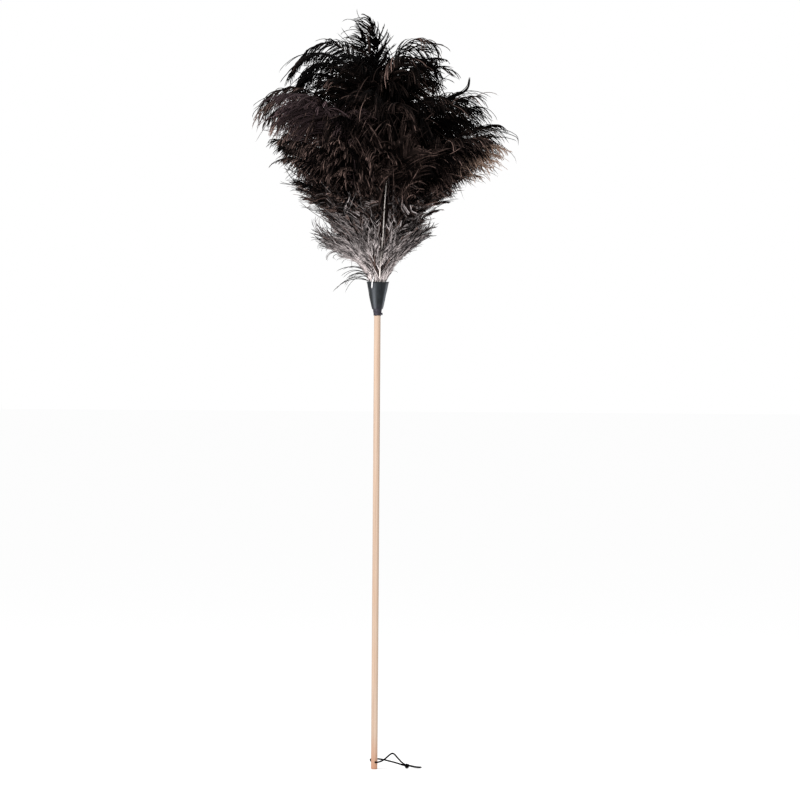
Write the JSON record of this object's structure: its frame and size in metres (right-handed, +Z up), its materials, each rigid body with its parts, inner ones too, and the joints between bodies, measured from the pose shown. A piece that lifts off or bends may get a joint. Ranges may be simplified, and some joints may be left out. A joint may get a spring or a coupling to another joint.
{
  "type": "feather duster",
  "caption": "Long-handled feather duster: round wooden stick, full head of dark curled plumes with grey down below, black conical collar, thin cord hanging loop.",
  "frame": {"origin": "centre of the stick's butt end", "axes": "+Z up the stick towards the feathers; the front faces -Y; the hanging loop lies towards +X"},
  "size_m": [0.3564, 0.3243, 1.0825],
  "materials": {
    "wood": "satin",
    "collar": "satin",
    "tape": "satin",
    "wire": "satin",
    "cord": "matte",
    "plume_dark": "matte",
    "plume_grey": "matte"
  },
  "bodies": {
    "duster": {"handle_dowel": "wood", "collar": "collar", "collar_tape": "tape", "binding_wire_lower": "wire", "binding_wire_middle": "wire", "binding_wire_upper": "wire", "plume_core_01": "plume_dark", "plume_core_02": "plume_dark", "plume_core_03": "plume_dark", "plume_core_04": "plume_dark", "plume_core_05": "plume_dark", "plume_core_06": "plume_dark", "plume_core_07": "plume_dark", "plume_core_08": "plume_dark", "plume_inner_01": "plume_dark", "plume_inner_02": "plume_dark", "plume_inner_03": "plume_dark", "plume_inner_04": "plume_dark", "plume_inner_05": "plume_dark", "plume_inner_06": "plume_dark", "plume_inner_07": "plume_dark", "plume_inner_08": "plume_dark", "plume_middle_01": "plume_dark", "plume_middle_02": "plume_dark", "plume_middle_03": "plume_dark", "plume_middle_04": "plume_dark", "plume_middle_05": "plume_dark", "plume_middle_06": "plume_dark", "plume_middle_07": "plume_dark", "plume_middle_08": "plume_dark", "plume_middle_09": "plume_dark", "plume_middle_10": "plume_dark", "plume_outer_01": "plume_dark", "plume_outer_02": "plume_dark", "plume_outer_03": "plume_dark", "plume_outer_04": "plume_dark", "plume_outer_05": "plume_dark", "plume_outer_06": "plume_dark", "plume_outer_07": "plume_dark", "plume_outer_08": "plume_dark", "plume_outer_09": "plume_dark", "plume_outer_10": "plume_dark", "plume_base_01": "plume_grey", "plume_base_02": "plume_grey", "plume_base_03": "plume_grey", "plume_base_04": "plume_grey", "plume_base_05": "plume_grey", "plume_base_06": "plume_grey", "plume_base_07": "plume_grey", "plume_base_08": "plume_grey", "plume_base_09": "plume_grey", "plume_base_10": "plume_grey", "plume_base_11": "plume_grey", "plume_base_12": "plume_grey"},
    "hang_loop": {"hang_cord": "cord", "hang_knot": "cord", "cord_tail_front": "cord", "cord_tail_back": "cord"}
  },
  "joints": [
    {"name": "loop_swing", "type": "hinge", "parent": "duster", "child": "hang_loop", "pos_m": [0, 0, 0.0104], "axis": [-0.4067, 0.9135, 0], "range_deg": [-55, 245]}
  ]
}
